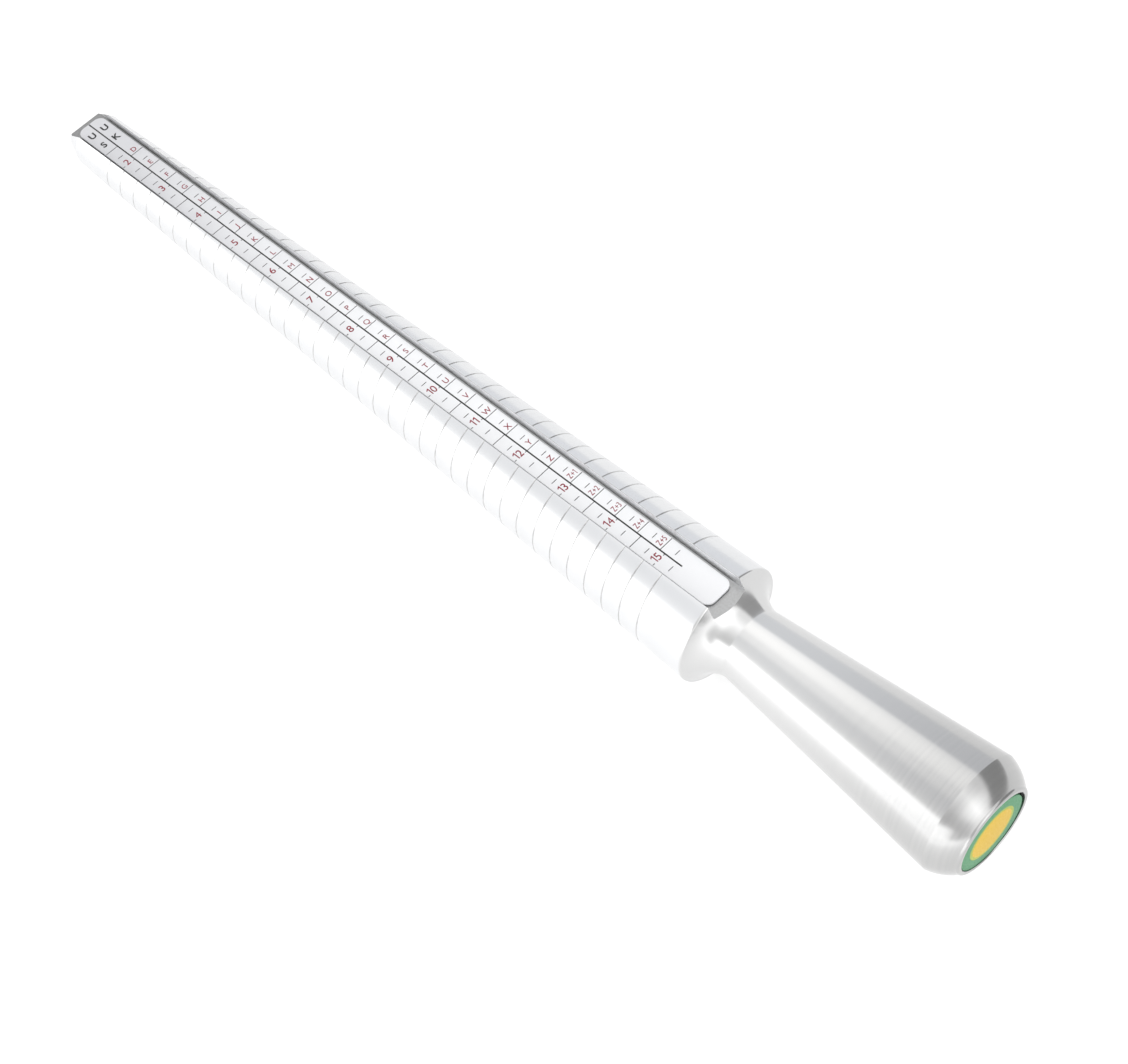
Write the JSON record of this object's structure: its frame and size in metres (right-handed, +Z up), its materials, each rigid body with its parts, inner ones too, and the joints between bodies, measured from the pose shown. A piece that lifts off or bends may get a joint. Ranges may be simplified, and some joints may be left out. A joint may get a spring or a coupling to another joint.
{
  "type": "ring sizer stick",
  "caption": "Tapered aluminium ring sizing mandrel with a flared handle, a slotted US and UK scale plate and a printed end disc.",
  "frame": {"origin": "on the ground under the middle of the stick's length, with the stick lying on the underside of its blade", "axes": "+X from the tip to the handle, +Z up and out of the scale slot, +Y towards the UK column of the scale"},
  "size_m": [0.2486, 0.025, 0.0266],
  "materials": {
    "turned_aluminium": "satin turned",
    "printed_plate": "printed white, satin",
    "adhesive_film": "dark adhesive film",
    "printed_disc": "printed green and yellow, satin"
  },
  "bodies": {
    "root": {"mandrel_body": "turned_aluminium", "scale_plate": "printed_plate", "scale_adhesive": "adhesive_film", "end_disc": "printed_disc", "end_disc_adhesive": "adhesive_film"}
  },
  "joints": []
}
